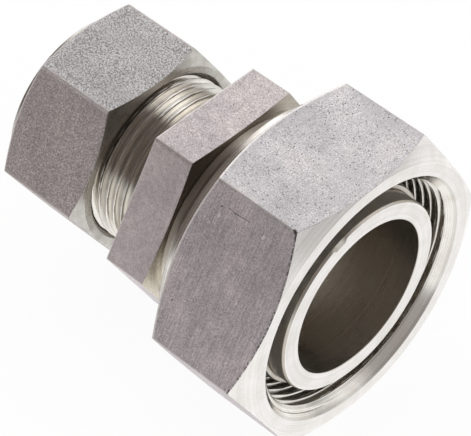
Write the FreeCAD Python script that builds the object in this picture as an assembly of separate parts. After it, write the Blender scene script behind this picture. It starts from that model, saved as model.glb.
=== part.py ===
import FreeCAD, Part
import math
import os

os.makedirs("parts", exist_ok=True)

# A straight reducing fitting for two tube sizes, sealed by cutting rings in 24 degree cones.
# All lengths are in millimetres. X is the axis and points out of the mouth of the large nut.
# X = 0 is the end face of the tube stub. Z is up, square to the upper flat of the large nut.

# Large side: a plain stub that goes into a 42 mm tube socket
large_tube_radius = 21.0
stub_wall = 4.0
stub_length = 30.9
stub_bevel_width = 0.3
stub_bevel_length = 0.5
neck_cone_height = 0.8

# Centre hexagon, with its corners turned off on the stub side only
centre_hex_height = 2.0
centre_hex_length = 10.0
centre_hex_chamfer_angle = 7.0
centre_hex_turn = -0.33

# Small side: a coned socket for a 28 mm tube inside an M36x2 end
small_tube_radius = 14.0
small_tube_clearance = 0.05
small_tube_wall = 2.0
male_end_length = 16.7
male_chamfer_length = 1.1
male_chamfer_depth = 1.3
undercut_width = 3.0
undercut_depth = 1.45
undercut_slope_length = 1.2
cone_mouth_height = 1.15
cone_half_angle = 12.0
socket_depth = 7.5
drill_half_angle = 59.0

# Union nuts. The rear is the tube side, with a collar, and the mouth is the threaded side.
small_nut_height = 22.4
small_nut_collar_length = 0.9
small_nut_chamfer_angle = 24.0
small_nut_turn = 1.62
small_nut_gap_to_hex = 11.9
small_nut_thread_height = 1.1
small_nut_countersink_height = 0.9
small_nut_mouth_wall = 1.6
large_nut_height = 26.7
large_nut_collar_length = 1.3
large_nut_chamfer_angle = 28.0
large_nut_overhang = 1.1
large_nut_thread_height = 0.72
large_nut_countersink_height = 2.18
large_nut_mouth_wall = 2.9
nut_collar_share = 0.933
nut_land_length = 6.5
nut_tube_clearance = 0.3
nut_rear_break = 0.5
nut_shoulder_angle = 45.0
nut_relief_length = 1.5
thread_clearance = 0.05
hex_face_step = 0.1
hex_edge_radius = 0.4

# Cutting rings. The front is the sharp edge that bites the tube.
ring_seat_clearance = 0.12
ring_rear_wall = 0.75
ring_collar_length = 2.4
ring_collar_step = 0.9
ring_nut_clearance = 0.6
small_ring_clearance = 0.15
small_ring_length = 10.2
small_ring_tip_wall = 0.4
small_ring_collar_wall = 2.15
large_ring_setback = 4.5
large_ring_turning_clearance = 0.05
large_ring_tip_wall = 0.9
large_ring_collar_wall = 2.55

# The groove that the large ring has cut into the stub, and the bead of metal in front of it
bite_depth = 0.25
bite_length = 1.8
bead_height = 0.2
bead_length = 0.5

# Radii that follow, from each tube outwards to the mouth of its nut
small_nut_hole = small_tube_radius + nut_tube_clearance
small_ring_hole = small_tube_radius + small_ring_clearance
small_ring_collar_radius = small_ring_hole + small_ring_collar_wall
small_nut_shoulder_radius = small_ring_collar_radius + ring_nut_clearance
small_thread_radius = small_nut_shoulder_radius + small_nut_thread_height
small_nut_countersink_radius = small_thread_radius + small_nut_countersink_height
large_nut_hole = large_tube_radius + nut_tube_clearance
large_ring_hole = large_tube_radius + large_ring_turning_clearance
large_ring_collar_radius = large_ring_hole + large_ring_collar_wall
large_nut_shoulder_radius = large_ring_collar_radius + ring_nut_clearance
large_nut_thread_radius = large_nut_shoulder_radius + large_nut_thread_height
large_nut_countersink_radius = large_nut_thread_radius + large_nut_countersink_height
male_radius = small_thread_radius - thread_clearance
socket_radius = small_tube_radius + small_tube_clearance
cone_mouth_radius = small_tube_radius + cone_mouth_height
passage_radius = small_tube_radius - small_tube_wall
stub_bore_radius = large_tube_radius - stub_wall

# Spanner sizes that follow: 46, 41 and 60 mm
centre_hex_across_flats = 2 * (large_tube_radius + centre_hex_height)
small_nut_across_flats = 2 * (small_nut_countersink_radius + small_nut_mouth_wall)
large_nut_across_flats = 2 * (large_nut_countersink_radius + large_nut_mouth_wall)

# Places that follow
hex_right = -stub_length
hex_left = hex_right - centre_hex_length
male_face = hex_left - male_end_length
large_nut_mouth = large_nut_overhang
large_nut_rear = large_nut_mouth - large_nut_height
small_nut_mouth = hex_left - small_nut_gap_to_hex
small_nut_rear = small_nut_mouth - small_nut_height
spare = 1.0

axis_point = FreeCAD.Vector(0, 0, 0)
axis_direction = FreeCAD.Vector(1, 0, 0)


def across(rise, degrees):
    """Run along the axis of a slope that leans by this angle from a plane square to it."""
    return rise * math.tan(math.radians(degrees))


def along(rise, degrees):
    """Run along the axis of a slope that leans by this angle from the axis."""
    return rise / math.tan(math.radians(degrees))


def corner_radius(across_flats):
    return across_flats / 2 / math.cos(math.radians(30))


def face_radius(across_flats):
    return across_flats / 2 - hex_face_step


def section_face(corners):
    """Flat section through (x, radius) corners."""
    points = [FreeCAD.Vector(x, 0, radius) for x, radius in corners]
    return Part.Face(Part.makePolygon(points + points[:1]))


def turned(corners):
    """Solid that the outline sweeps when it is turned about the axis."""
    return section_face(corners).revolve(axis_point, axis_direction, 360)


def hexagon_bar(across_flats, left, right, turn):
    """Hexagonal bar along the axis with broken edges. At a turn of 0 a flat is on top."""
    radius = corner_radius(across_flats)
    corners = []
    for i in range(7):
        angle = math.radians(60 * i + turn)
        corners.append(FreeCAD.Vector(left, radius * math.cos(angle), radius * math.sin(angle)))
    length = right - left
    bar = Part.Face(Part.makePolygon(corners)).extrude(axis_direction * length)
    long_edges = [edge for edge in bar.Edges if abs(edge.Length - length) < Part.Precision.confusion()]
    return bar.makeFillet(hex_edge_radius, long_edges)


def turned_hexagon(across_flats, turn, outline):
    """Hexagonal bar cut to a turned outline that starts and ends on the axis."""
    bar = hexagon_bar(across_flats, outline[0][0], outline[-1][0], turn)
    return bar.common(turned(outline))


def body_outside():
    """Outline of the turned body, from the male end face to the end of the stub."""
    undercut_radius = male_radius - undercut_depth
    bite_front = -large_ring_setback
    return [
        (male_face, 0),
        (male_face, male_radius - male_chamfer_depth),
        (male_face + male_chamfer_length, male_radius),
        (hex_left - undercut_width, male_radius),
        (hex_left - undercut_width + undercut_slope_length, undercut_radius),
        (hex_left, undercut_radius),
        (hex_left, face_radius(centre_hex_across_flats)),
        (hex_right, face_radius(centre_hex_across_flats)),
        (hex_right, large_tube_radius + neck_cone_height),
        (hex_right + neck_cone_height, large_tube_radius),
        (bite_front - bite_length, large_tube_radius),
        (bite_front, large_tube_radius - bite_depth),
        (bite_front, large_tube_radius + bead_height),
        (bite_front + bead_length, large_tube_radius),
        (-stub_bevel_length, large_tube_radius),
        (0, large_tube_radius - stub_bevel_width),
        (0, 0),
    ]


def body_inside():
    """Outline of the way through the body: cone, tube socket, passage and stub bore."""
    cone_length = along(cone_mouth_radius - socket_radius, cone_half_angle)
    mouth_spare = math.tan(math.radians(cone_half_angle)) * spare
    taper_length = along(stub_bore_radius - passage_radius, drill_half_angle)
    return [
        (male_face - spare, 0),
        (male_face - spare, cone_mouth_radius + mouth_spare),
        (male_face + cone_length, socket_radius),
        (male_face + socket_depth, socket_radius),
        (male_face + socket_depth, passage_radius),
        (hex_right - taper_length, passage_radius),
        (hex_right, stub_bore_radius),
        (spare, stub_bore_radius),
        (spare, 0),
    ]


def make_body():
    reach = corner_radius(centre_hex_across_flats) + spare
    face = face_radius(centre_hex_across_flats)
    chamfer = across(reach - face, centre_hex_chamfer_angle)
    hexagon = turned_hexagon(centre_hex_across_flats, centre_hex_turn, [
        (hex_left, 0),
        (hex_left, reach),
        (hex_right - chamfer, reach),
        (hex_right, face),
        (hex_right, 0),
    ])
    solid = turned(body_outside()).fuse(hexagon).removeSplitter()
    return solid.cut(turned(body_inside()))


def nut_outside(across_flats, rear, mouth, collar_length, angle):
    """Outline of a nut: a collar at the rear, and a cone at each end that turns off the corners."""
    reach = corner_radius(across_flats) + spare
    face = face_radius(across_flats)
    collar = across_flats / 2 * nut_collar_share
    collar_front = rear + collar_length
    return [
        (rear, 0),
        (rear, collar),
        (collar_front, collar),
        (collar_front + across(reach - collar, angle), reach),
        (mouth - across(reach - face, angle), reach),
        (mouth, face),
        (mouth, 0),
    ]


def nut_inside(rear, mouth, hole, shoulder, thread, countersink):
    """Outline of a nut's inside: a tube hole, a 45 degree shoulder and a threaded bore."""
    shoulder_start = rear + nut_land_length
    shoulder_end = shoulder_start + along(shoulder - hole, nut_shoulder_angle)
    return [
        (rear - spare, 0),
        (rear - spare, hole + nut_rear_break + spare),
        (rear + nut_rear_break, hole),
        (shoulder_start, hole),
        (shoulder_end, shoulder),
        (shoulder_end + nut_relief_length, shoulder),
        (shoulder_end + nut_relief_length, thread),
        (mouth - (countersink - thread), thread),
        (mouth + spare, countersink + spare),
        (mouth + spare, 0),
    ]


def make_ring(rear, front, hole, collar, tip_wall, bite):
    """Cutting ring: a tapered front, a collar, and a 45 degree rear that the nut pushes on."""
    barrel = collar - ring_collar_step
    rear_radius = hole + ring_rear_wall
    collar_start = rear + along(collar - rear_radius, nut_shoulder_angle)
    collar_end = collar_start + ring_collar_length
    taper_start = front - along(barrel - hole - tip_wall, cone_half_angle)
    inner_front = [(front, hole)]
    if bite:
        inner_front = [(front, hole - bite_depth), (front - bite_length, hole)]
    return turned([
        (rear, hole),
        (rear, rear_radius),
        (collar_start, collar),
        (collar_end, collar),
        (collar_end, barrel),
        (taper_start, barrel),
        (front, hole + tip_wall),
        *inner_front,
    ])


def ring_rear(nut_rear, nut_hole, ring_hole):
    """Where a ring's rear face lies when its 45 degree rear sits on the nut's shoulder."""
    contact_rise = ring_hole + ring_rear_wall - nut_hole
    return nut_rear + nut_land_length + along(contact_rise, nut_shoulder_angle) + ring_seat_clearance


small_ring_rear = ring_rear(small_nut_rear, small_nut_hole, small_ring_hole)
large_ring_rear = ring_rear(large_nut_rear, large_nut_hole, large_ring_hole)

small_nut_bar = turned_hexagon(small_nut_across_flats, small_nut_turn, nut_outside(
    small_nut_across_flats, small_nut_rear, small_nut_mouth,
    small_nut_collar_length, small_nut_chamfer_angle,
))
large_nut_bar = turned_hexagon(large_nut_across_flats, 0, nut_outside(
    large_nut_across_flats, large_nut_rear, large_nut_mouth,
    large_nut_collar_length, large_nut_chamfer_angle,
))

pieces = {
    "body": make_body(),
    "small_nut": small_nut_bar.cut(turned(nut_inside(
        small_nut_rear, small_nut_mouth, small_nut_hole,
        small_nut_shoulder_radius, small_thread_radius, small_nut_countersink_radius,
    ))),
    "large_nut": large_nut_bar.cut(turned(nut_inside(
        large_nut_rear, large_nut_mouth, large_nut_hole,
        large_nut_shoulder_radius, large_nut_thread_radius, large_nut_countersink_radius,
    ))),
    "small_cutting_ring": make_ring(
        small_ring_rear, small_ring_rear + small_ring_length, small_ring_hole,
        small_ring_collar_radius, small_ring_tip_wall, False,
    ),
    "large_cutting_ring": make_ring(
        large_ring_rear, -large_ring_setback - large_ring_turning_clearance, large_ring_hole,
        large_ring_collar_radius, large_ring_tip_wall, True,
    ),
}

for name, shape in pieces.items():
    solid = shape.Solids[0]
    solid.exportStep("parts/" + name + ".step")
    box = solid.BoundBox
    print(name, len(shape.Solids), "solid", solid.isValid(), round(solid.Volume), "mm3, x from",
          round(box.XMin, 2), "to", round(box.XMax, 2))
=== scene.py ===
import math
import bpy
import numpy as np
from mathutils import Matrix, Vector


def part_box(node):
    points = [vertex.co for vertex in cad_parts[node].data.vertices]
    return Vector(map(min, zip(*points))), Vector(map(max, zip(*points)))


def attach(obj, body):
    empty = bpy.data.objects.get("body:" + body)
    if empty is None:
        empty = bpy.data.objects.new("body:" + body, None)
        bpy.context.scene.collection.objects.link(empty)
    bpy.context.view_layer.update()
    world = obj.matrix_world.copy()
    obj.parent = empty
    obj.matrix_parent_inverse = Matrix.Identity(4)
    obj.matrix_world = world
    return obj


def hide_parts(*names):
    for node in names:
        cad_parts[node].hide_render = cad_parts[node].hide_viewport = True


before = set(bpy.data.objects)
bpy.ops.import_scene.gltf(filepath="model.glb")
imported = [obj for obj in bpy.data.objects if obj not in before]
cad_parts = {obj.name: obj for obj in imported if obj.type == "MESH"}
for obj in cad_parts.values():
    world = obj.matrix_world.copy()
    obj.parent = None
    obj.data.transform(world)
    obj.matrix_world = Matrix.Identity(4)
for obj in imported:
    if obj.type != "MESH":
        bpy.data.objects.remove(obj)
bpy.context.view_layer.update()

# A straight reducing tube fitting. Lengths are in millimetres here and become metres in the meshes.
# X is the axis and points out of the large nut's mouth, Z is up.
mm = 0.001
tau = 2 * math.pi


def boxOf(node):
    # the two corners of a CAD node's box
    low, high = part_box(node)
    return np.array(low) / mm, np.array(high) / mm


largeNutLow, largeNutHigh = boxOf("large_nut")


# Camera

view = {
    "place": (223.68, -280.47, 401.49),
    "side": (0.72526, 0.68823, 0.01854),
    "up": (-0.51075, 0.51979, 0.68480),
    "look": (-0.46166, 0.50612, -0.72850),
    "lens": 218.196,
    "sensor": 36.0,
    "nearest": 0.01,
    "furthest": 20.0,
}


def setCamera():
    data = bpy.data.cameras.new("photoCamera")
    data.sensor_fit = "HORIZONTAL"
    data.sensor_width = view["sensor"]
    data.lens = view["lens"]
    data.clip_start = view["nearest"]
    data.clip_end = view["furthest"]
    camera = bpy.data.objects.new("photoCamera", data)
    rows = [list(axis) for axis in zip(view["side"], view["up"], [-v for v in view["look"]])]
    placed = [row + [place * mm] for row, place in zip(rows, view["place"])]
    camera.matrix_world = Matrix(placed + [[0, 0, 0, 1]])
    bpy.context.scene.collection.objects.link(camera)
    bpy.context.scene.camera = camera


# Small helpers for the node trees

def put(tree, kind, inputs=None, **settings):
    made = tree.nodes.new(kind)
    for name, value in settings.items():
        setattr(made, name, value)
    for name, value in (inputs or {}).items():
        if isinstance(value, bpy.types.NodeSocket):
            tree.links.new(value, made.inputs[name])
        else:
            made.inputs[name].default_value = value
    return made


def calc(tree, operation, *values, clamp=False):
    made = put(tree, "ShaderNodeMath", dict(enumerate(values)), operation=operation, use_clamp=clamp)
    return made.outputs[0]


def calcVector(tree, operation, *values, output=0):
    # SCALE takes its number on the socket of that name
    names = (0, "Scale") if operation == "SCALE" else (0, 1)
    made = put(tree, "ShaderNodeVectorMath", dict(zip(names, values)), operation=operation)
    return made.outputs[output]


def product(tree, first, *others):
    for other in others:
        first = calc(tree, "MULTIPLY", first, other)
    return first


def varied(tree, *terms):
    # the product of 1 + depth * noise, over pairs of a noise and its depth
    return product(tree, *[calc(tree, "MULTIPLY_ADD", noise, depth, 1.0) for noise, depth in terms])


def summed(tree, start, *terms, clamp=False):
    # start + amount * noise, over pairs of a noise and its amount
    for noise, amount in terms:
        start = calc(tree, "MULTIPLY_ADD", noise, amount, start, clamp=clamp)
    return start


def fade(tree, value, low, high, first=0.0, last=1.0):
    # first below low, last above high, and smooth between them
    made = put(tree, "ShaderNodeMapRange", interpolation_type="SMOOTHSTEP", inputs={
        "Value": value, "From Min": low, "From Max": high, "To Min": first, "To Max": last,
    })
    return made.outputs[0]


def swing(tree, noise, spread):
    # a noise about 0.5 taken to -1 at 0.5 - spread and 1 at 0.5 + spread
    return fade(tree, noise, 0.5 - spread, 0.5 + spread, -1.0, 1.0)


def blendColour(tree, factor, first, second):
    made = put(tree, "ShaderNodeMix", data_type="RGBA", blend_type="MIX")
    for index, value in ((0, factor), (6, first), (7, second)):
        if isinstance(value, bpy.types.NodeSocket):
            tree.links.new(value, made.inputs[index])
        elif index:
            made.inputs[index].default_value = (*value, 1.0)
        else:
            made.inputs[index].default_value = value
    return made.outputs[2]


def layOver(tree, shade, mask, depth, colour):
    # the colour covers the shade by mask * depth
    return blendColour(tree, calc(tree, "MULTIPLY", mask, depth), shade, colour)


def splitPoint(tree, point):
    return put(tree, "ShaderNodeSeparateXYZ", {0: point}).outputs


def grain(tree, point, scale, detail=2.0, rough=0.5, stretch=(1, 1, 1)):
    shaped = put(tree, "ShaderNodeMapping", {"Vector": point, "Scale": stretch}).outputs[0]
    made = put(tree, "ShaderNodeTexNoise", {
        "Vector": shaped, "Scale": scale, "Detail": detail, "Roughness": rough,
    })
    return made.outputs[0]


def shiftedGrain(tree, point, shift, scale, detail=2.0, rough=0.5):
    # the same noise read elsewhere, so that two patterns don't fall on each other
    return grain(tree, calcVector(tree, "ADD", point, shift), scale, detail, rough)


def specks(tree, point, scale, size):
    # 1 inside small spots round scattered cell centres, 0 between them
    cell = put(tree, "ShaderNodeTexVoronoi", {"Vector": point, "Scale": scale, "Randomness": 1.0})
    picked = put(tree, "ShaderNodeSeparateColor", {"Color": cell.outputs["Color"]})
    reach = calc(tree, "MULTIPLY", fade(tree, picked.outputs[0], 0.4, 1.0), size)
    edge = calc(tree, "SUBTRACT", reach, cell.outputs["Distance"])
    return fade(tree, edge, 0.0, size * 0.35)


def strokes(tree, point, marks):
    # 1 near the straight line between two places, 0 further off: the gap is |offset - share * along|,
    # where share = offset . along / |along| squared, held between 0 and 1
    total = 0.0
    for start, end, halfWidth in marks:
        along = [last - first for first, last in zip(start, end)]
        squared = sum(step * step for step in along)
        offset = calcVector(tree, "SUBTRACT", point, start)
        dot = calcVector(tree, "DOT_PRODUCT", offset, along, output="Value")
        share = calc(tree, "DIVIDE", dot, squared, clamp=True)
        run = calcVector(tree, "SCALE", along, share)
        gap = calcVector(tree, "DISTANCE", offset, run, output="Value")
        total = calc(tree, "MAXIMUM", total, fade(tree, gap, halfWidth * 0.4, halfWidth * 1.5, 1.0, 0.0))
    return total


def readMark(tree, name):
    # a value that the mesh carries at its points
    return put(tree, "ShaderNodeAttribute", attribute_name=name).outputs["Fac"]


def nearEdge(tree, gap, ragged, sway, width, full=0.6):
    # 1 within the full share of a width from an edge, 0 beyond the width, on a line that sways with ragged
    swayed = calc(tree, "MULTIPLY_ADD", ragged, sway, gap)
    return fade(tree, swayed, width * full, width, 1.0, 0.0)


def alongLay(tree, point):
    # 0.83 x + radius: steady round every circle about the axis, changing across every turned surface
    flatPoint = calcVector(tree, "MULTIPLY", point, (0.0, 1.0, 1.0))
    radius = calcVector(tree, "LENGTH", flatPoint, output="Value")
    return calc(tree, "ADD", calc(tree, "MULTIPLY", splitPoint(tree, point)[0], 0.83), radius)


def toolLines(tree, lay, scale):
    # a noise along the lay only, so it makes rings round the axis
    made = put(tree, "ShaderNodeTexNoise", {
        "W": calc(tree, "MULTIPLY", lay, scale), "Scale": 1.0, "Detail": 3.0, "Roughness": 0.6,
    }, noise_dimensions="1D")
    return made.outputs[0]


def startMaterial(name):
    material = bpy.data.materials.new(name)
    material.use_nodes = True
    tree = material.node_tree
    tree.nodes.clear()
    out = put(tree, "ShaderNodeOutputMaterial")
    shader = put(tree, "ShaderNodeBsdfPrincipled")
    tree.links.new(shader.outputs[0], out.inputs[0])
    coordinate = put(tree, "ShaderNodeTexCoord").outputs["Object"]
    return material, tree, shader, calcVector(tree, "SCALE", coordinate, 1 / mm)


def finishMetal(tree, shader, look, shade, dull, height):
    # bare metal: colour, roughness, and a relief as deep as grooveDepth where the height goes from 0 to 1
    relief = put(tree, "ShaderNodeBump", {
        "Strength": look["bump"], "Distance": look["grooveDepth"] * mm, "Height": height,
    })
    shader.inputs["Metallic"].default_value = 1.0
    tree.links.new(shade, shader.inputs["Base Color"])
    tree.links.new(dull, shader.inputs["Roughness"])
    tree.links.new(relief.outputs[0], shader.inputs["Normal"])


# Surfaces

def pickledFlats(name, look):
    # colour = tint * level. The level is the product of 1 + depth * noise for fine grain, patches, clouds and
    # brush marks, and of 1 - depth * worm lines, which run where a noise crosses its middle. Pits, the burr
    # at the mouth and scratches cover it with a dark colour; flecks and nicks with a light one, and so do the
    # long edges, whose light is partly wear and partly a painted highlight, and the rear edge, whose light
    # line is a painted highlight. The upper flat has its own depths, and the other flats have their own tint,
    # which is painted light and shade for how the light falls on them.
    material, tree, shader, point = startMaterial(name)
    upper = fade(tree, splitPoint(tree, point)[2], look["topFrom"] - look["topBand"], look["topFrom"])
    cornerGap, rearGap, mouthGap = [readMark(tree, mark) for mark in ("cornerGap", "rearGap", "mouthGap")]

    def bySide(others, top):
        # one value on the upper flat, another on the rest
        return fade(tree, upper, 0.0, 1.0, others, top)

    fine = swing(tree, grain(tree, point, look["grainScale"], 4.0, 0.72), look["grainWidth"])
    fine = calc(tree, "MULTIPLY", fine, bySide(look["sideFine"], look["topFine"]))
    patches = swing(tree, grain(tree, point, look["grainScale"] * look["patchSize"], 3.0, 0.6), 0.14)
    clouds = swing(tree, grain(tree, point, look["cloudScale"], 3.0, 0.55), 0.2)
    brush = swing(tree, grain(tree, point, 1.0, 3.0, 0.6, look["brushStretch"]), 0.16)
    brush = calc(tree, "MULTIPLY", brush, bySide(1.0, look["topBrush"]))

    crossing = shiftedGrain(tree, point, (3.0, 17.0, 9.0), look["wormScale"], 1.5, 0.6)
    offMiddle = calc(tree, "ABSOLUTE", calc(tree, "SUBTRACT", crossing, 0.5))
    worms = fade(tree, offMiddle, *look["wormSpan"], 1.0, look["wormRim"])
    towardsFront = fade(tree, rearGap, *look["endSpan"], 1.0, look["farGrain"])
    bed = fade(tree, shiftedGrain(tree, point, (8.0, 2.0, 5.0), look["bedScale"]), 0.34, 0.60, 0.45, 1.0)
    inner = calc(tree, "MULTIPLY", fade(tree, cornerGap, 0.4, 1.4), fade(tree, rearGap, 0.3, 2.2))
    worms = product(tree, worms, bySide(look["sideGrain"], 1.0), towardsFront, product(tree, bed, inner))

    level = varied(tree, (fine, look["grainDepth"]), (patches, look["patchDepth"]),
                   (clouds, look["cloudDepth"]), (brush, look["brushDepth"]), (worms, -look["wormDepth"]))
    # the other flats' tint is painted light and shade: darker on the small nut, lighter on the other two
    tint = calcVector(tree, "MULTIPLY", blendColour(tree, clouds, look["colour"], look["warmColour"]),
                      blendColour(tree, upper, look["sideTint"], (1.0, 1.0, 1.0)))
    shade = calcVector(tree, "SCALE", tint, level)

    pits = specks(tree, point, look["pitScale"], look["pitSize"])
    pits = calc(tree, "MULTIPLY", pits, bySide(look["sidePits"], 1.0))
    elsewhere = calcVector(tree, "ADD", point, (31.0, 7.0, 13.0))
    flecks = specks(tree, elsewhere, look["fleckScale"], look["fleckSize"])
    ragged = calc(tree, "MULTIPLY_ADD", grain(tree, point, 1.1, 3.0, 0.7), 0.6, -0.3)
    # wear and painted highlight: the long edges are lighter, partly worn bright and partly painted as if
    # catching the light
    worn = nearEdge(tree, cornerGap, ragged, 0.9, look["edgeWidth"], 0.4)
    broken = fade(tree, grain(tree, point, 2.2, 3.0, 0.75), 0.48, 0.53)
    burr = product(tree, nearEdge(tree, mouthGap, ragged, 0.6, look["burrWidth"]), broken,
                   bySide(1.0, look["topBurr"]))
    # painted highlight: a light line along the flats' rear edge
    rearLine = nearEdge(tree, rearGap, ragged, 0.25, look["rearWidth"])
    scratches = strokes(tree, point, look["darkMarks"])
    nicks = strokes(tree, point, look["lightMarks"])
    covers = (
        (pits, look["pitDepth"], look["pitColour"]),
        (flecks, look["fleckDepth"], look["fleckColour"]),
        (worn, look["edgeWearAndHighlight"], look["edgeColour"]),
        (burr, look["burrDepth"], look["burrColour"]),
        (rearLine, 1.0, look["edgeColour"]),
        (scratches, look["scratchDepth"], look["pitColour"]),
        (nicks, 1.0, look["edgeColour"]),
    )
    for mask, depth, colour in covers:
        shade = layOver(tree, shade, mask, depth, colour)

    dull = summed(tree, look["roughness"], (fine, 0.06), (pits, 0.15), (worn, 0.25), clamp=True)
    height = summed(tree, 0.5, (fine, 0.35), (patches, 0.2), (brush, look["brushBump"]), (pits, -1.2),
                    (scratches, -1.0))
    finishMetal(tree, shader, look, shade, dull, height)
    return material


def turnedSteel(name, look):
    # colour = tint * level. The tint has wide stains, and where a look has a painted light colour, as the
    # recess's does, painted light makes it lighter low down and to +Y. The level is the product of 1 + depth
    # * noise for the tool's fine and broad lines round the axis and for speckle, and of 1 - depth * the
    #   painted
    # shade in the thread's roots. A broken burr covers the mouth's edge with a dark colour. The lines also
    # give the roughness and the height of the grooves that the tool has left.
    material, tree, shader, point = startMaterial(name)
    lay = alongLay(tree, point)
    fine = swing(tree, toolLines(tree, lay, look["lineScale"]), 0.25)
    broad = swing(tree, toolLines(tree, calc(tree, "ADD", lay, 57.0), look["lineScale"] * 0.16), 0.2)
    stain = fade(tree, grain(tree, point, look["stainScale"], 4.0, 0.6), 0.36, 0.66)
    speckle = swing(tree, grain(tree, point, 5.0, 3.0, 0.7), 0.2)
    tint = blendColour(tree, stain, look["colour"], look["stainColour"])
    # painted light: the tint goes lighter low down and towards +Y
    if "lowColour" in look:
        parts = splitPoint(tree, point)
        light = calc(tree, "MAXIMUM", fade(tree, parts[2], *look["lowSpan"], 1.0, 0.0),
                     fade(tree, parts[1], *look["rightSpan"], 0.0, look["rightShare"]))
        tint = blendColour(tree, light, tint, look["lowColour"])
    root = fade(tree, readMark(tree, "rootShade"), 0.45, 1.0)
    level = varied(tree, (fine, look["lineDepth"]), (broad, look["lineDepth"] * 0.7),
                   (speckle, look["speckDepth"]), (root, -look["rootDepth"]))
    shade = calcVector(tree, "SCALE", tint, level)
    ragged = calc(tree, "MULTIPLY_ADD", grain(tree, point, 1.3, 3.0, 0.7), 0.4, -0.2)
    broken = fade(tree, grain(tree, point, 0.8, 3.0, 0.75), 0.48, 0.58)
    burr = nearEdge(tree, readMark(tree, "mouthGap"), ragged, 1.0, look["burrWidth"], 0.0)
    burr = calc(tree, "MULTIPLY", burr, broken)
    shade = layOver(tree, shade, burr, look["burrDepth"], look["burrColour"])
    dull = summed(tree, look["roughness"], (fine, 0.05), (stain, 0.08), clamp=True)
    height = summed(tree, 0.5, (fine, 0.5), (broad, 0.6))
    finishMetal(tree, shader, look, shade, dull, height)
    return material


# Shapes: every piece is one closed profile of (x, radius) rings carried round the axis

halfSide = math.radians(30)  # from the middle of a hexagon's flat to its edge
edgeRadius = 0.402  # of a hexagon's long edges
faceStep = 0.1  # a hexagon's end face stops this far inside its flats
perEdge = 8  # steps round a long edge
threadRings = 26  # rings on one pitch of a thread
coneSlope = math.tan(math.radians(12))  # of the 24 degree cone and the rings' taper
sharpAngle = 38
far = 99.0  # a gap that is out of reach of every finish


def hexColumns(acrossFlats, turn, perFlat):
    # angles round a hexagon: even steps over each flat, a guard step beside each edge, and the steps
    # of a circle of edgeRadius round the edge
    centre = (acrossFlats / 2 - edgeRadius) / math.cos(halfSide)
    arc = np.linspace(-halfSide, halfSide, perEdge + 1)
    edge = np.arctan2(edgeRadius * np.sin(arc), centre + edgeRadius * np.cos(arc))
    start = edge[-1]
    guard = 0.08 / acrossFlats  # 0.04 mm along the flat
    flat = np.linspace(start + guard, 2 * halfSide - start - guard, perFlat)
    one = np.concatenate([edge, flat])
    every = (one[None, :] + 2 * halfSide * np.arange(6)[:, None]).ravel() + math.radians(turn)
    return np.sort(np.mod(every, tau))


def cornerAngle(theta, turn):
    # angle from the nearest long edge of the hexagon
    step = np.mod(theta - math.radians(turn), 2 * halfSide)
    return np.minimum(step, 2 * halfSide - step)


def hexRadius(theta, acrossFlats, turn):
    # flat: half the width / cos(angle from the flat's middle); edge: ray against the edge's circle
    psi = cornerAngle(theta, turn)
    centre = (acrossFlats / 2 - edgeRadius) / math.cos(halfSide)
    limit = math.atan2(edgeRadius * math.sin(halfSide), centre + edgeRadius * math.cos(halfSide))
    flat = acrossFlats / 2 / np.cos(halfSide - psi)
    root = np.sqrt(np.maximum(edgeRadius ** 2 - (centre * np.sin(psi)) ** 2, 0))
    return np.where(psi < limit, centre * np.cos(psi) + root, flat)


def threadDepth(x, theta, thread):
    # 0 on the major diameter, 1 on the minor one: distance from the ridge's middle line along X, where
    # the line climbs one pitch for each turn about +X, through the 60 degree flanks
    phase = np.mod((x - thread["start"]) / thread["pitch"] - theta / tau, 1.0)
    gap = np.abs(phase - 0.5) * 2
    raw = np.clip((gap - thread["ridge"]) / (1 - thread["ridge"] - thread["groove"]), 0, 1)
    return raw * (1 - thread["round"]) + (0.5 - 0.5 * np.cos(np.pi * raw)) * thread["round"]


def corner(x, radius, ease, finish, rings=0):
    # ease: how far its rounding reaches; rings: how many go between it and the next corner
    return {"x": x, "radius": radius, "ease": ease, "finish": finish, "rings": rings}


def carryProfile(items, theta):
    # joins corners and ready-made runs of rings into one closed run; a corner P between its sides' points
    # A and B is eased by (1-t)^2 A + 2t(1-t) P + t^2 B, with one guard ring on each side
    runs = []
    for item in items:
        full = [np.atleast_2d(np.broadcast_to(value, np.shape(value)[:-1] + theta.shape))
                for value in (item["x"], item["radius"])]
        runs.append(np.stack(full, axis=-1))
    ends = []
    for index, item in enumerate(items):
        point = runs[index]
        before = runs[index - 1][-1] - point[0]
        after = runs[(index + 1) % len(items)][0] - point[-1]
        beforeLength = np.linalg.norm(before, axis=-1, keepdims=True)
        afterLength = np.linalg.norm(after, axis=-1, keepdims=True)
        shorter = np.minimum(beforeLength, afterLength)
        ease = np.minimum(item["ease"], 0.38 * shorter)
        guard = np.minimum(ease + 0.05, 0.45 * shorter)
        toBefore = before / np.maximum(beforeLength, 1e-9)
        toAfter = after / np.maximum(afterLength, 1e-9)
        ends.append((point[0] + toBefore * guard, point[0] + toBefore * ease,
                     point[-1] + toAfter * ease, point[-1] + toAfter * guard))
    rows, finishes = [], []
    for index, item in enumerate(items):
        if item["ease"] > 0:
            first, left, right, final = ends[index]
            point = runs[index][0]
            curve = [(1 - t) ** 2 * left + 2 * t * (1 - t) * point + t ** 2 * right
                     for t in np.linspace(0, 1, 5)]
            rows += [first, *curve, final]
            finishes += [items[index - 1]["finish"]] * 3 + [item["finish"]] * 4
        else:
            final = runs[index][-1]
            rows += list(runs[index])
            finishes += [item["finish"]] * len(runs[index])
        following = (index + 1) % len(items)
        target = ends[following][0] if items[following]["ease"] > 0 else runs[following][0]
        for step in range(1, item["rings"] + 1):
            rows.append(final + (target - final) * step / (item["rings"] + 1))
            finishes.append(item["finish"])
    grid = np.array(rows)
    return grid[..., 0], grid[..., 1], np.array(finishes)


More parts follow.
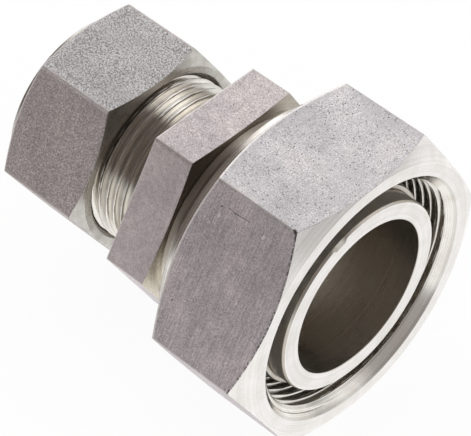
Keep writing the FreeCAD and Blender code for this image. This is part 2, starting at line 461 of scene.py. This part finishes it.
def makePiece(name, node, rides, x, radius, theta, finishes, materials, marks):
    # the grid is closed both ways, so there is no seam and no pole; vertex (i, j) joins (i + 1, j + 1)
    rows, columns = x.shape
    place = np.stack([x, radius * np.cos(theta)[None, :], radius * np.sin(theta)[None, :]], axis=-1) * mm
    i, j = np.meshgrid(np.arange(rows), np.arange(columns), indexing="ij")
    nextRow, nextColumn = (i + 1) % rows, (j + 1) % columns
    faces = np.stack([i * columns + j, i * columns + nextColumn,
                      nextRow * columns + nextColumn, nextRow * columns + j], axis=-1)
    mesh = bpy.data.meshes.new(name)
    mesh.vertices.add(rows * columns)
    mesh.vertices.foreach_set("co", place.astype(np.float32).ravel())
    mesh.loops.add(faces.size)
    mesh.loops.foreach_set("vertex_index", faces.astype(np.int32).ravel())
    mesh.polygons.add(rows * columns)
    mesh.polygons.foreach_set("loop_start", np.arange(0, faces.size, 4, dtype=np.int32))
    mesh.update(calc_edges=True)
    mesh.polygons.foreach_set("material_index", np.repeat(finishes, columns).astype(np.int32))
    for title, values in marks.items():
        layer = mesh.attributes.new(title, "FLOAT", "POINT")
        layer.data.foreach_set("value", np.broadcast_to(values, x.shape).astype(np.float32).ravel())
    mesh.shade_smooth()
    mesh.set_sharp_from_angle(angle=math.radians(sharpAngle))
    for material in materials:
        mesh.materials.append(material)
    piece = bpy.data.objects.new(name, mesh)
    bpy.context.scene.collection.objects.link(piece)
    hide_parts(node)
    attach(piece, rides)
    print(name, "made:", rows, "rings of", columns)


def hexMarks(x, radius, theta, rearEdge, mouthEdge, hexR, turn, outsideFrom):
    # on the outside, how far each point is from the flats' rear and mouth edges; on the flats, how far
    # it is from a long edge
    outside = radius > outsideFrom
    onFlats = (x > rearEdge - 0.03) & (x < mouthEdge + 0.03)
    return {
        "mouthGap": np.where(outside, np.hypot(x - mouthEdge, radius - hexR), far),
        "rearGap": np.where(outside, np.hypot(x - rearEdge, radius - hexR), far),
        "cornerGap": np.where(onFlats, radius * np.sin(cornerAngle(theta, turn)), far),
    }


# a corner's finish is its place in the piece's list of materials
flatFinish, turnedFinish, threadFinish, innerFinish, recessFinish, hiddenFinish = range(6)


# Nuts

smallNut = {
    "acrossFlats": 41.0,
    "turn": 1.62,
    "perFlat": 44,
    "collarRadius": 19.13,
    "collarLength": 0.9,
    "chamfer": 24.0,
    "hole": 14.3,
    "holeBreak": 0.5,
    "land": 6.5,
    "shoulderRadius": 16.9,
    "relief": 1.5,
    "countersinkRadius": 18.9,
    "crestRadius": 16.92,
    "rootRadius": 18.03,
    "endFinish": turnedFinish,
}

largeNut = {
    "acrossFlats": largeNutHigh[2] - largeNutLow[2],
    "turn": 0.0,
    "perFlat": 44,
    "collarRadius": 27.99,
    "collarLength": 1.3,
    "chamfer": 28.0,
    "hole": 21.3,
    "holeBreak": 0.5,
    "land": 6.5,
    "shoulderRadius": 24.2,
    "relief": 1.5,
    "countersinkRadius": 27.1,
    "crestRadius": 24.92,
    "rootRadius": 26.02,
    "endFinish": recessFinish,
}

# ridge and groove: half the width on the major and on the minor diameter, as shares of half the pitch
smallFemale = {"pitch": 2.0, "start": -53.7, "ridge": 0.125, "groove": 0.22, "round": 0.25}
smallMale = {"pitch": 2.0, "start": -53.7, "ridge": 0.085, "groove": 0.20, "round": 0.25}
largeFemale = {"pitch": 2.0, "start": -0.35, "ridge": 0.13, "groove": 0.24, "round": 0.3}


def femaleRun(nut, thread, mouth, end, theta):
    # bore radius = the larger of the countersink's cone and the thread, which fades out over its last turn
    count = int((mouth - end) / thread["pitch"] * threadRings)
    x = np.linspace(mouth - 0.12, end + 0.05, count)[:, None]
    fadeOut = np.clip((x - end) / thread["pitch"], 0, 1) ** 0.6
    inner = nut["crestRadius"]
    top = inner + (nut["rootRadius"] - inner) * fadeOut
    radius = top + (inner - top) * threadDepth(x, theta[None, :], thread)
    cone = nut["countersinkRadius"] - (mouth - x)
    return corner(x, np.maximum(cone, radius), 0.0, threadFinish)


def makeNut(name, node, rides, nut, thread, materials):
    # a hexagon whose corners a cone turns off at either end: its rear edge is at the collar's end + slope *
    # (hexagon's radius - collar's radius), and its mouth edge at the mouth - slope * (hexagon's - face's)
    low, high = boxOf(node)
    rear, mouth = low[0], high[0]
    theta = hexColumns(nut["acrossFlats"], nut["turn"], nut["perFlat"])
    hexR = hexRadius(theta, nut["acrossFlats"], nut["turn"])
    slope = math.tan(math.radians(nut["chamfer"]))
    face = nut["acrossFlats"] / 2 - faceStep
    collarEnd = rear + nut["collarLength"]
    rearEdge = collarEnd + slope * (hexR - nut["collarRadius"])
    mouthEdge = mouth - slope * (hexR - face)
    shoulderStart = rear + nut["land"]
    shoulderEnd = shoulderStart + nut["shoulderRadius"] - nut["hole"]
    reliefEnd = shoulderEnd + nut["relief"]
    items = [
        corner(rear, nut["hole"] + nut["holeBreak"], 0.06, nut["endFinish"]),
        corner(rear, nut["collarRadius"], 0.12, nut["endFinish"]),
        corner(collarEnd, nut["collarRadius"], 0.10, nut["endFinish"]),
        corner(rearEdge, hexR, 0.10, flatFinish, 12),
        corner(mouthEdge, hexR, 0.08, turnedFinish, 2),
        corner(mouth, face, 0.10, turnedFinish, 1),
        corner(mouth, nut["countersinkRadius"], 0.08, turnedFinish),
        femaleRun(nut, thread, mouth, reliefEnd, theta),
        corner(reliefEnd, nut["crestRadius"], 0.0, innerFinish),
        corner(reliefEnd - 0.02, nut["shoulderRadius"], 0.0, innerFinish),
        corner(shoulderEnd, nut["shoulderRadius"], 0.15, innerFinish),
        corner(shoulderStart, nut["hole"], 0.15, innerFinish),
        corner(rear + nut["holeBreak"], nut["hole"], 0.08, innerFinish),
    ]
    x, radius, finishes = carryProfile(items, theta)
    marks = hexMarks(x, radius, theta, rearEdge, mouthEdge, hexR, nut["turn"], nut["collarRadius"] * 0.96)
    makePiece(name, node, rides, x, radius, theta, finishes, materials, marks)


# Body

body = {
    "perFlat": 35,
    "hexFlats": 46.0,
    "hexTurn": -0.33,
    "hexChamfer": 7.0,
    "hexLength": 10.0,
    "stubLength": 30.9,
    "stubRadius": 21.0,
    "stubBore": 17.0,
    "bevelWidth": 0.3,
    "bevelLength": 0.5,
    "knockFrom": 104.5,
    "knockTo": 112.8,
    "knockFade": 1.2,
    "knockExtra": 3,
    "neck": 0.8,
    "biteFront": -4.5,
    "biteLength": 1.8,
    "biteDepth": 0.25,
    "beadHeight": 0.2,
    "beadLength": 0.5,
    "maleRadius": 17.95,
    "maleRoot": 16.75,
    "maleChamferDepth": 1.3,
    "maleChamferLength": 1.1,
    "undercutWidth": 3.0,
    "undercutSlope": 1.2,
    "undercutRadius": 16.5,
    "coneMouth": 15.15,
    "socketRadius": 14.05,
    "socketDepth": 7.5,
    "passage": 12.0,
    "drillHalfAngle": 59.0,
}


def maleRun(face, hexLeft, theta):
    # radius = the smallest of the end chamfer, the thread and the slope down into the undercut
    slopeStart = hexLeft - body["undercutWidth"]
    end = slopeStart + body["undercutSlope"]
    count = int((end - face) / smallMale["pitch"] * threadRings)
    x = np.linspace(face + 0.03, end, count)[:, None]
    depth = threadDepth(x, theta[None, :], smallMale)
    radius = body["maleRadius"] - (body["maleRadius"] - body["maleRoot"]) * depth
    chamfer = body["maleRadius"] - body["maleChamferDepth"] * (1 - (x - face) / body["maleChamferLength"])
    drop = body["maleRadius"] - body["undercutRadius"]
    slope = body["maleRadius"] - drop * (x - slopeStart) / body["undercutSlope"]
    return corner(x, np.minimum(np.minimum(radius, chamfer), slope), 0.0, threadFinish)


def rootShade(x, radius, male, hexLeft):
    # 0 on the male thread's crests, 1 in its roots, and 0 away from the thread
    depth = np.clip((body["maleRadius"] - radius) / (body["maleRadius"] - body["maleRoot"]), 0, 1)
    onThread = (x > male + 0.5) & (x < hexLeft - 1.0) & (radius > body["undercutRadius"] - 0.05)
    return np.where(onThread, depth, 0.0)


def rimBevel(theta):
    # the bevel's width * (1 + the extra) inside one short arc, where the rim was knocked, fading out over
    # a degree or so at either end
    angle = np.degrees(theta)
    rise = np.clip((angle - body["knockFrom"]) / body["knockFade"] + 0.5, 0, 1)
    fall = np.clip((body["knockTo"] - angle) / body["knockFade"] + 0.5, 0, 1)
    return body["bevelWidth"] * (1 + body["knockExtra"] * (rise * fall))


def makeBody(materials):
    # male end, undercut, hexagon, neck, stub with the bite of its ring, and the bores back to the cone
    low, high = boxOf("body")
    male, end = low[0], high[0]
    hexRight = end - body["stubLength"]
    hexLeft = hexRight - body["hexLength"]
    theta = hexColumns(body["hexFlats"], body["hexTurn"], body["perFlat"])
    hexR = hexRadius(theta, body["hexFlats"], body["hexTurn"])
    face = body["hexFlats"] / 2 - faceStep
    mouthEdge = hexRight - math.tan(math.radians(body["hexChamfer"])) * (hexR - face)
    stub, bore = body["stubRadius"], body["stubBore"]
    bite = body["biteFront"]
    taper = (bore - body["passage"]) / math.tan(math.radians(body["drillHalfAngle"]))
    coneLength = (body["coneMouth"] - body["socketRadius"]) / coneSlope
    items = [
        corner(male, body["coneMouth"], 0.05, turnedFinish),
        maleRun(male, hexLeft, theta),
        corner(hexLeft - 0.1, body["undercutRadius"], 0.08, hiddenFinish),
        corner(hexLeft, body["undercutRadius"] + 0.1, 0.08, hiddenFinish, 1),
        corner(hexLeft, hexR, 0.07, flatFinish, 8),
        corner(mouthEdge, hexR, 0.07, recessFinish, 2),
        corner(hexRight, face, 0.08, recessFinish),
        corner(hexRight, stub + body["neck"], 0.15, recessFinish),
        corner(hexRight + body["neck"], stub, 0.3, recessFinish, 3),
        corner(bite - body["biteLength"], stub, 0.05, innerFinish),
        corner(bite, stub - body["biteDepth"], 0.03, innerFinish),
        corner(bite, stub + body["beadHeight"], 0.06, innerFinish),
        corner(bite + body["beadLength"], stub, 0.1, innerFinish),
        corner(end - body["bevelLength"], stub, 0.06, innerFinish),
        corner(end, stub - rimBevel(theta), 0.08, turnedFinish, 1),
        corner(end, bore + 0.12, 0.05, innerFinish),
        corner(end - 0.12, bore, 0.05, innerFinish, 6),
        corner(hexRight, bore, 0.15, innerFinish),
        corner(hexRight - taper, body["passage"], 0.15, innerFinish, 2),
        corner(male + body["socketDepth"], body["passage"], 0.08, innerFinish),
        corner(male + body["socketDepth"], body["socketRadius"], 0.08, innerFinish),
        corner(male + coneLength, body["socketRadius"], 0.08, innerFinish, 1),
    ]
    x, radius, finishes = carryProfile(items, theta)
    marks = hexMarks(x, radius, theta, hexLeft, mouthEdge, hexR, body["hexTurn"], stub + 1.2)
    marks["rootShade"] = rootShade(x, radius, male, hexLeft)
    makePiece("reducerBody", "body", "body", x, radius, theta, finishes, materials, marks)


# Cutting rings

smallRing = {
    "hole": 14.15, "rearWall": 0.75, "collarRadius": 16.3, "collarLength": 2.4,
    "collarStep": 0.9, "tipWall": 0.4, "bite": 0.0, "biteLength": 1.8, "columns": 288,
}
largeRing = {
    "hole": 21.05, "rearWall": 0.75, "collarRadius": 23.6, "collarLength": 2.4,
    "collarStep": 0.9, "tipWall": 0.9, "bite": 0.25, "biteLength": 1.8, "columns": 288,
}


def makeRing(name, node, rides, ring, material):
    # 45 degree rear, collar, barrel, and a 12 degree taper down to the sharp front edge
    low, high = boxOf(node)
    rear, front = low[0], high[0]
    theta = np.arange(ring["columns"]) / ring["columns"] * tau
    rise = ring["collarRadius"] - ring["hole"] - ring["rearWall"]
    barrel = ring["collarRadius"] - ring["collarStep"]
    collarEnd = rear + rise + ring["collarLength"]
    taper = (barrel - ring["hole"] - ring["tipWall"]) / coneSlope
    steel = 0  # its one material
    items = [
        corner(rear, ring["hole"] + 0.05, 0.03, steel),
        corner(rear, ring["hole"] + ring["rearWall"], 0.08, steel),
        corner(rear + rise, ring["collarRadius"], 0.12, steel),
        corner(collarEnd, ring["collarRadius"], 0.15, steel),
        corner(collarEnd, barrel, 0.12, steel),
        corner(front - taper, barrel, 0.3, steel, 2),
        corner(front, ring["hole"] + ring["tipWall"], 0.06, steel),
        corner(front, ring["hole"] - ring["bite"], 0.02, steel),
        corner(front - ring["biteLength"], ring["hole"], 0.05, steel, 1),
        corner(rear + 0.05, ring["hole"], 0.02, steel),
    ]
    x, radius, finishes = carryProfile(items, theta)
    makePiece(name, node, rides, x, radius, theta, finishes, [material], {"mouthGap": far})


# Finishes

plainFlats = {
    "topBand": 0.6, "grainWidth": 0.16, "patchSize": 0.28, "cloudScale": 0.11,
    "brushStretch": (3.0, 0.16, 0.16), "brushDepth": 0.03, "topBrush": 0.5, "brushBump": 0.1,
    "wormSpan": (0.01, 0.06), "wormRim": -0.6, "bedScale": 0.13, "sideGrain": 0.3, "endSpan": (2.7, 9.0),
    "pitColour": (0.10, 0.085, 0.08), "scratchDepth": 0.9,
    "fleckScale": 0.8, "fleckSize": 0.18, "fleckDepth": 0.5, "fleckColour": (0.82, 0.80, 0.78),
    "edgeWearAndHighlight": 0.7, "edgeWidth": 0.30, "edgeColour": (0.95, 0.90, 0.89), "rearWidth": 0.30,
    "burrWidth": 0.36, "topBurr": 0.12, "burrColour": (0.12, 0.11, 0.10),
    "darkMarks": [], "lightMarks": [], "roughness": 0.54, "bump": 0.5, "grooveDepth": 0.05,
}
smallNutLook = dict(
    plainFlats, colour=(0.92, 0.872, 0.882), warmColour=(0.925, 0.872, 0.872), sideTint=(0.636, 0.607, 0.599),
    topFrom=20.05, grainScale=3.3, grainWidth=0.11, grainDepth=0.40, sideFine=0.85, topFine=1.8,
    patchDepth=0.06, cloudDepth=0.05, wormScale=2.8, wormDepth=0.80, farGrain=0.9,
    pitScale=1.0, pitSize=0.14, pitDepth=0.7, sidePits=0.25, edgeWidth=0.65, burrDepth=0.3, bump=0.9,
)
centreHexLook = dict(
    plainFlats, colour=(0.665, 0.618, 0.620), warmColour=(0.67, 0.62, 0.61), sideTint=(1.19, 1.165, 1.19),
    topFrom=22.8, grainScale=3.2, grainDepth=0.26, sideFine=0.6, topFine=1.15,
    patchDepth=0.07, cloudDepth=0.08, wormScale=1.6, wormDepth=0.14, sideGrain=0.6, farGrain=1.0,
    pitScale=2.1, pitSize=0.34, pitDepth=0.6, sidePits=0.1, burrDepth=0.15,
)
largeNutLook = dict(
    plainFlats, colour=(0.668, 0.650, 0.666), warmColour=(0.682, 0.650, 0.655), sideTint=(1.06, 1.00, 1.015),
    topFrom=29.8, grainScale=3.0, grainDepth=0.28, sideFine=0.85, topFine=0.9,
    patchDepth=0.05, cloudDepth=0.09, wormScale=2.2, wormDepth=0.34, farGrain=0.55,
    brushStretch=(3.2, 0.30, 0.10), brushDepth=0.12, brushBump=0.35,
    pitScale=2.2, pitSize=0.36, pitDepth=0.75, sidePits=0.3, fleckColour=(1.0, 0.98, 0.95),
    edgeColour=(1.0, 0.96, 0.95), rearWidth=0.50, burrWidth=0.50, burrDepth=0.95,
    darkMarks=[  # start, end and half width: two scratches, two dents and the drag line at the corner
        ((-16.3, -19.17, 26.8), (-14.0, -19.25, 26.66), 0.08),
        ((-14.0, -19.25, 26.66), (-11.2, -19.11, 26.9), 0.065),
        ((-17.95, -19.45, 26.31), (-17.75, -19.40, 26.40), 0.15),
        ((-19.95, -30.2, 7.7), (-19.8, -30.1, 7.9), 0.14),
        ((-2.1, -17.20, 30.0), (-1.3, -17.50, 29.5), 0.30),
    ],
    lightMarks=[
        ((-17.7, -20.45, 24.58), (-17.6, -20.25, 24.93), 0.27),
        ((-7.5, -19.75, 25.79), (-7.35, -19.5, 26.22), 0.27),
    ],
)

plainTurned = {
    "stainScale": 0.16, "lineScale": 5.5, "lineDepth": 0.07, "speckDepth": 0.04, "rootDepth": 0.0,
    "burrWidth": 0.10, "burrDepth": 0.0, "burrColour": (0.16, 0.145, 0.13), "bump": 0.6, "grooveDepth": 0.010,
}
chamferLook = dict(
    plainTurned, colour=(0.92, 0.895, 0.87), stainColour=(0.87, 0.84, 0.80), roughness=0.26, burrDepth=0.7,
)
# painted shade: a darker copy of the chamfer's steel for the small nut's turned surfaces
smallChamferLook = dict(
    chamferLook, colour=(0.62, 0.595, 0.56), stainColour=(0.53, 0.505, 0.465), stainScale=0.35,
)
threadLook = dict(
    plainTurned, colour=(0.82, 0.795, 0.75), stainColour=(0.74, 0.70, 0.64), roughness=0.15,
    lineScale=3.2, lineDepth=0.16, grooveDepth=0.006, rootDepth=0.30,
)
# painted shade: a darker copy of the turned steel for the bores, the holes in the nuts and the stub inside
# the large nut
innerLook = dict(
    plainTurned, colour=(0.67, 0.63, 0.575), stainColour=(0.61, 0.565, 0.50), roughness=0.27,
    lineDepth=0.045, grooveDepth=0.003,
)
# painted shade: a dark copy of the turned steel for the hexagon's stub side, its neck and the stub's root,
# with painted light low down and towards +Y
recessLook = dict(
    plainTurned, colour=(0.42, 0.385, 0.34), stainColour=(0.35, 0.32, 0.28), roughness=0.26,
    lowColour=(0.98, 0.94, 0.86), lowSpan=(-2.0, 7.5), rightSpan=(2.0, 16.0), rightShare=0.5,
)
collarLook = dict(
    plainTurned, colour=(0.80, 0.765, 0.72), stainColour=(0.66, 0.63, 0.58), roughness=0.18,
    lineScale=2.6, lineDepth=0.36,
)
# painted shade: a much darker copy of the turned steel for the thread inside the small nut and the undercut
# behind the hexagon
darkThreadLook = dict(plainTurned, colour=(0.34, 0.31, 0.27), stainColour=(0.28, 0.25, 0.21), roughness=0.30)
ringLook = dict(plainTurned, colour=(0.60, 0.57, 0.52), stainColour=(0.54, 0.50, 0.45), roughness=0.24)

chamferSteel = turnedSteel("turnedSteel", chamferLook)
threadSteel = turnedSteel("threadSteel", threadLook)
innerSteel = turnedSteel("boreWithPaintedShade", innerLook)
darkThreadSteel = turnedSteel("hiddenThreadWithPaintedShade", darkThreadLook)
ringSteel = turnedSteel("ringSteel", ringLook)

# in the order flat, turned, thread, inner, recess, hidden
smallNutSteels = [
    pickledFlats("smallNutFlats", smallNutLook), turnedSteel("smallNutTurnedPaintedShade", smallChamferLook),
    darkThreadSteel, innerSteel,
]
bodySteels = [
    pickledFlats("centreHexFlats", centreHexLook), chamferSteel, threadSteel, innerSteel,
    turnedSteel("recessPaintedShade", recessLook), darkThreadSteel,
]
largeNutSteels = [
    pickledFlats("largeNutFlats", largeNutLook), chamferSteel, threadSteel, innerSteel,
    turnedSteel("collarSteel", collarLook),
]
print("finishes made")


# Floor, world and softbox

studio = {
    "floorSize": 6.0,
    "floorColour": (0.97, 0.97, 0.97),
    "floorGlow": 0.93,
    "floorNear": 0.12,
    "floorFar": 0.60,
    "floorDim": 0.54,
    "roomLight": 0.93,
    "backLight": (1.0, 0.995, 1.0),
    "horizonSpan": (0.0, 0.45),
    "frontShade": (0.172, 0.146, 0.132),
    "frontSpan": (0.18, 0.56),
    "frontFrom": (-0.05, 0.10),
    "rightShade": (0.37, 0.35, 0.345),
    "rightSpan": (0.35, 0.95),
    "softboxPlace": (-0.42, 0.46, 0.72),
    "softboxSize": 0.62,
    "softboxPower": 0.95,
}
white = (1.0, 1.0, 1.0)


def makeFloor(height):
    # a matt pale floor that shows as white; in reflections it dims away from the piece, as a light table ends
    steps = np.linspace(-studio["floorSize"], studio["floorSize"], 3)
    x, y = np.meshgrid(steps, steps, indexing="ij")
    place = np.stack([x, y, 0 * x + height * mm], axis=-1).reshape(-1, 3)
    index = np.arange(9).reshape(3, 3)
    faces = np.stack([index[:-1, :-1], index[1:, :-1], index[1:, 1:], index[:-1, 1:]], axis=-1).reshape(-1, 4)
    mesh = bpy.data.meshes.new("studioFloor")
    mesh.from_pydata(place.tolist(), [], faces.tolist())
    floor = bpy.data.objects.new("studioFloor", mesh)
    bpy.context.scene.collection.objects.link(floor)
    material = bpy.data.materials.new("paleFloor")
    material.use_nodes = True
    tree = material.node_tree
    tree.nodes.clear()
    out = put(tree, "ShaderNodeOutputMaterial")
    matt = put(tree, "ShaderNodeBsdfDiffuse", {"Color": (*studio["floorColour"], 1.0)})
    path = put(tree, "ShaderNodeLightPath").outputs
    mirrored = path["Is Glossy Ray"]
    seen = calc(tree, "MAXIMUM", path["Is Camera Ray"], path["Is Transmission Ray"])
    share = calc(tree, "MAXIMUM", calc(tree, "MULTIPLY", seen, studio["floorGlow"]), mirrored)
    away = calcVector(tree, "LENGTH", put(tree, "ShaderNodeTexCoord").outputs["Object"], output="Value")
    dim = fade(tree, away, studio["floorNear"], studio["floorFar"], 1.0, studio["floorDim"])
    level = calc(tree, "MULTIPLY_ADD", mirrored, calc(tree, "SUBTRACT", dim, 1.0), 1.0)
    glow = put(tree, "ShaderNodeEmission", {"Color": (*white, 1.0), "Strength": level})
    mixed = put(tree, "ShaderNodeMixShader", {0: share, 1: matt.outputs[0], 2: glow.outputs[0]})
    tree.links.new(mixed.outputs[0], out.inputs[0])
    mesh.materials.append(material)


def makeWorld():
    # white to the camera; to glossy rays white at the back and above, and dim where the front of the room
    # is, less so to the right
    world = bpy.data.worlds.new("studioRoom")
    bpy.context.scene.world = world
    world.use_nodes = True
    tree = world.node_tree
    tree.nodes.clear()
    out = put(tree, "ShaderNodeOutputWorld")
    path = put(tree, "ShaderNodeLightPath").outputs
    x, y, z = splitPoint(tree, put(tree, "ShaderNodeTexCoord").outputs["Generated"])
    front = fade(tree, y, *studio["frontSpan"], 1.0, 0.0)
    front = calc(tree, "MULTIPLY", front, fade(tree, z, *studio["frontFrom"]))
    horizon = fade(tree, z, *studio["horizonSpan"], studio["floorDim"], 1.0)
    back = calcVector(tree, "SCALE", studio["backLight"], horizon)
    dim = blendColour(tree, fade(tree, x, *studio["rightSpan"]), studio["frontShade"], studio["rightShade"])
    room = blendColour(tree, front, back, dim)
    even = tuple(studio["roomLight"] * v for v in studio["backLight"])
    seen = blendColour(tree, path["Is Glossy Ray"], even, room)
    seen = blendColour(tree, path["Is Transmission Ray"], seen, white)
    colour = blendColour(tree, path["Is Camera Ray"], seen, white)
    light = put(tree, "ShaderNodeBackground", {"Color": colour, "Strength": 1.0})
    tree.links.new(light.outputs[0], out.inputs[0])


def makeSoftbox():
    data = bpy.data.lights.new("softbox", "AREA")
    data.shape = "SQUARE"
    data.size = studio["softboxSize"]
    data.energy = studio["softboxPower"]
    lamp = bpy.data.objects.new("softbox", data)
    place = np.array(studio["softboxPlace"])
    back = place / np.linalg.norm(place)
    side = np.cross((0.0, 0.0, 1.0), back)
    side /= np.linalg.norm(side)
    up = np.cross(back, side)
    rows = [[side[k], up[k], back[k], place[k]] for k in range(3)]
    lamp.matrix_world = Matrix(rows + [[0, 0, 0, 1]])
    bpy.context.scene.collection.objects.link(lamp)


bpy.context.scene.view_settings.view_transform = "Standard"
setCamera()
makeFloor(largeNutLow[2])
makeWorld()
makeSoftbox()
print("camera, floor and lights set")

makeBody(bodySteels)
makeNut("smallUnionNut", "small_nut", "small_nut", smallNut, smallFemale, smallNutSteels)
makeNut("largeUnionNut", "large_nut", "large_nut", largeNut, largeFemale, largeNutSteels)
makeRing("smallCuttingRing", "small_cutting_ring", "small_ring", smallRing, ringSteel)
makeRing("largeCuttingRing", "large_cutting_ring", "large_ring", largeRing, ringSteel)
